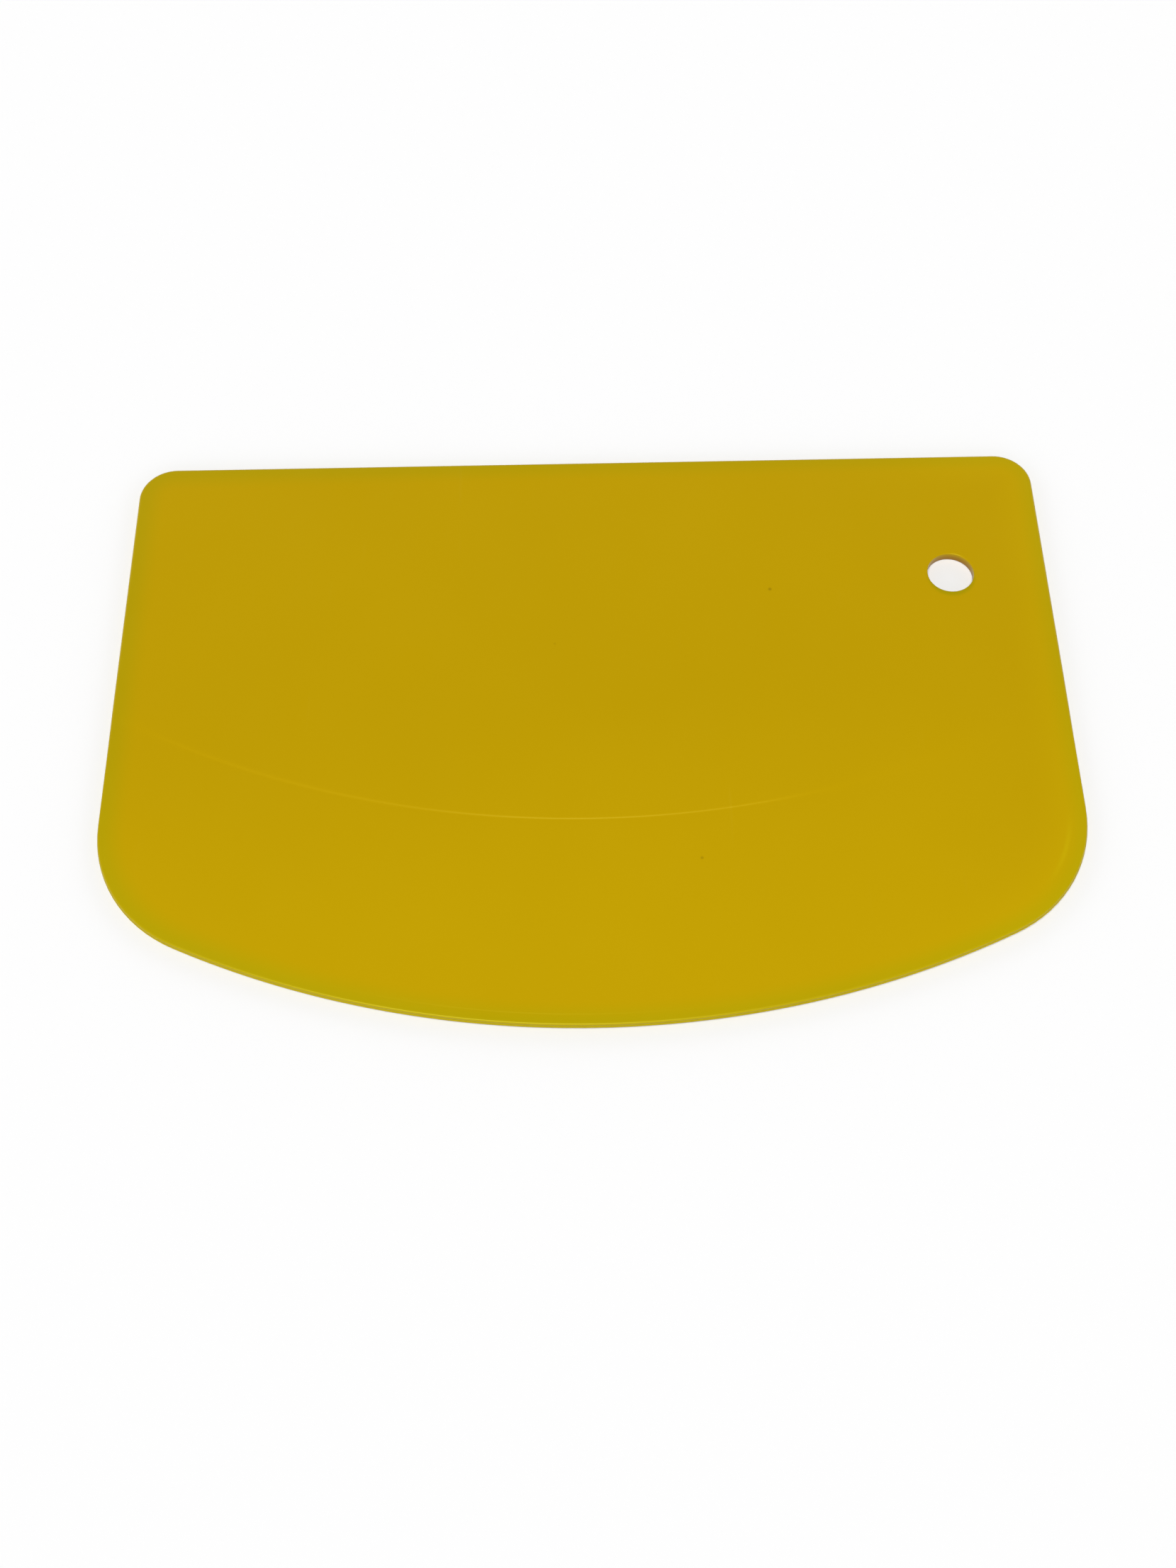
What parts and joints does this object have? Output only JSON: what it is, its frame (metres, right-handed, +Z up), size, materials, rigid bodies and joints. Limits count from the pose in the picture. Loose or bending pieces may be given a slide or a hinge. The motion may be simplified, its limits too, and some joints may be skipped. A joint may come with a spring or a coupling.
{
  "type": "mixing scraper",
  "caption": "Flat flexible plastic scraper for bowls and dough, with a straight grip edge, rounded corners, a thin curved scraping blade and a round hanging hole.",
  "frame": {"origin": "under the middle of the plate's box, on the surface that the scraper lies on", "axes": "+X along the width, to the right with the grip edge away from the viewer; +Y from the scraping edge to the grip edge; +Z up, out of the front face"},
  "size_m": [0.15, 0.1024, 0.0016],
  "materials": {
    "yellow_plastic": "satin"
  },
  "bodies": {
    "root": {"scraper_plate": "yellow_plastic"}
  },
  "joints": []
}
